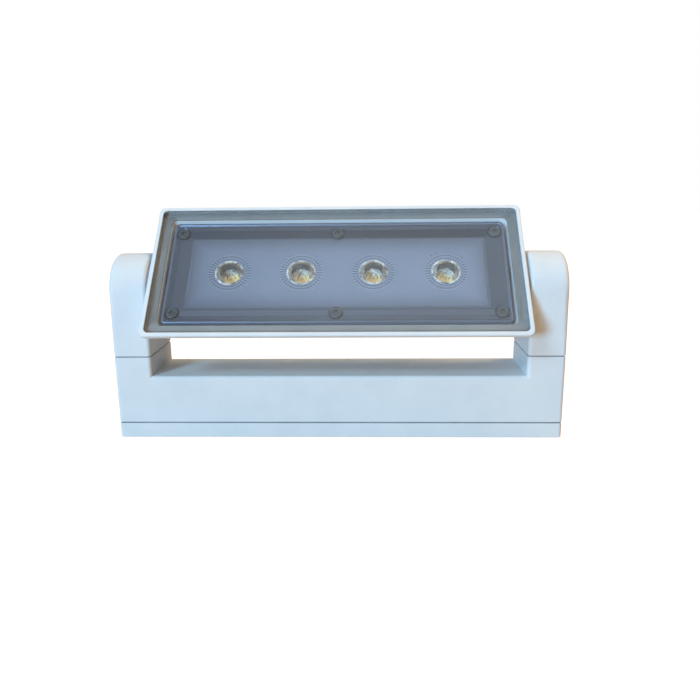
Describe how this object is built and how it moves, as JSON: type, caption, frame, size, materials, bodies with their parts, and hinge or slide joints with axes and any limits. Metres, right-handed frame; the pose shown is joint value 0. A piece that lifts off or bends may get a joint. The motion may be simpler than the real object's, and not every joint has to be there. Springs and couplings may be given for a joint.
{
  "type": "outdoor wall light",
  "caption": "Outdoor wall light: a long glazed flood head with clear lenses that tilts between two arms on a slim driver base, with a flat plate for the wall.",
  "frame": {"origin": "centre of the wall plate's back face, midway between the two wall holes", "axes": "+X along the width, to the right seen from the front; -Y is the front, where the glass looks; +Z leaves the wall plate's back face towards the head"},
  "size_m": [0.3, 0.0824, 0.1523],
  "materials": {
    "white_casting": "smooth white powder coat on die-cast aluminium",
    "tray_finish": "satin blue-grey finish on pressed aluminium",
    "front_glass": "clear toughened glass",
    "pale_silicone": "pale grey silicone",
    "dark_rubber": "matt black rubber",
    "clear_acrylic": "clear polished acrylic",
    "stainless": "plain stainless steel",
    "brass": "plain brass",
    "white_board": "white solder mask on an aluminium core",
    "phosphor": "yellow phosphor on white ceramic",
    "driver_case": "matt white moulded case",
    "terminal_plastic": "matt ivory moulding",
    "holder_plastic": "matt white moulding",
    "pad_silicone": "soft grey silicone sheet",
    "lead_sleeve": "black silicone sleeve",
    "washer_nylon": "grey nylon"
  },
  "bodies": {
    "base": {"wall_plate": "white_casting", "plate_seal": "dark_rubber", "cable_grommet": "dark_rubber", "base_housing": "white_casting", "housing_screws": "stainless", "driver": "driver_case", "driver_screws": "stainless", "terminal_block": "terminal_plastic", "terminal_screw": "stainless", "earth_screw": "brass", "driver_lead": "lead_sleeve", "arm_right": "white_casting", "arm_left": "white_casting", "arm_seal_right": "dark_rubber", "arm_seal_left": "dark_rubber", "arm_screws": "stainless", "friction_washer_right": "washer_nylon", "friction_washer_left": "washer_nylon", "pivot_seals": "dark_rubber"},
    "head": {"head_housing": "white_casting", "front_glass": "front_glass", "glass_seal": "pale_silicone", "lens_tray": "tray_finish", "tray_screws": "stainless", "lens_holders": "holder_plastic", "led_board": "white_board", "board_screws": "stainless", "thermal_pad": "pad_silicone", "leds": "phosphor", "board_connector": "terminal_plastic", "board_lead": "lead_sleeve", "pivot_tube_right": "stainless", "pivot_tube_left": "stainless", "pivot_nut_right": "stainless", "pivot_nut_left": "stainless", "spring_washer_right": "stainless", "spring_washer_left": "stainless", "tube_seals": "dark_rubber", "lens_1": "clear_acrylic", "lens_2": "clear_acrylic", "lens_3": "clear_acrylic", "lens_4": "clear_acrylic"}
  },
  "joints": [
    {"name": "head_tilt", "type": "hinge", "parent": "base", "child": "head", "pos_m": [0, 0, 0.098], "axis": [1, 0, 0], "range_deg": [-143, 47]}
  ]
}
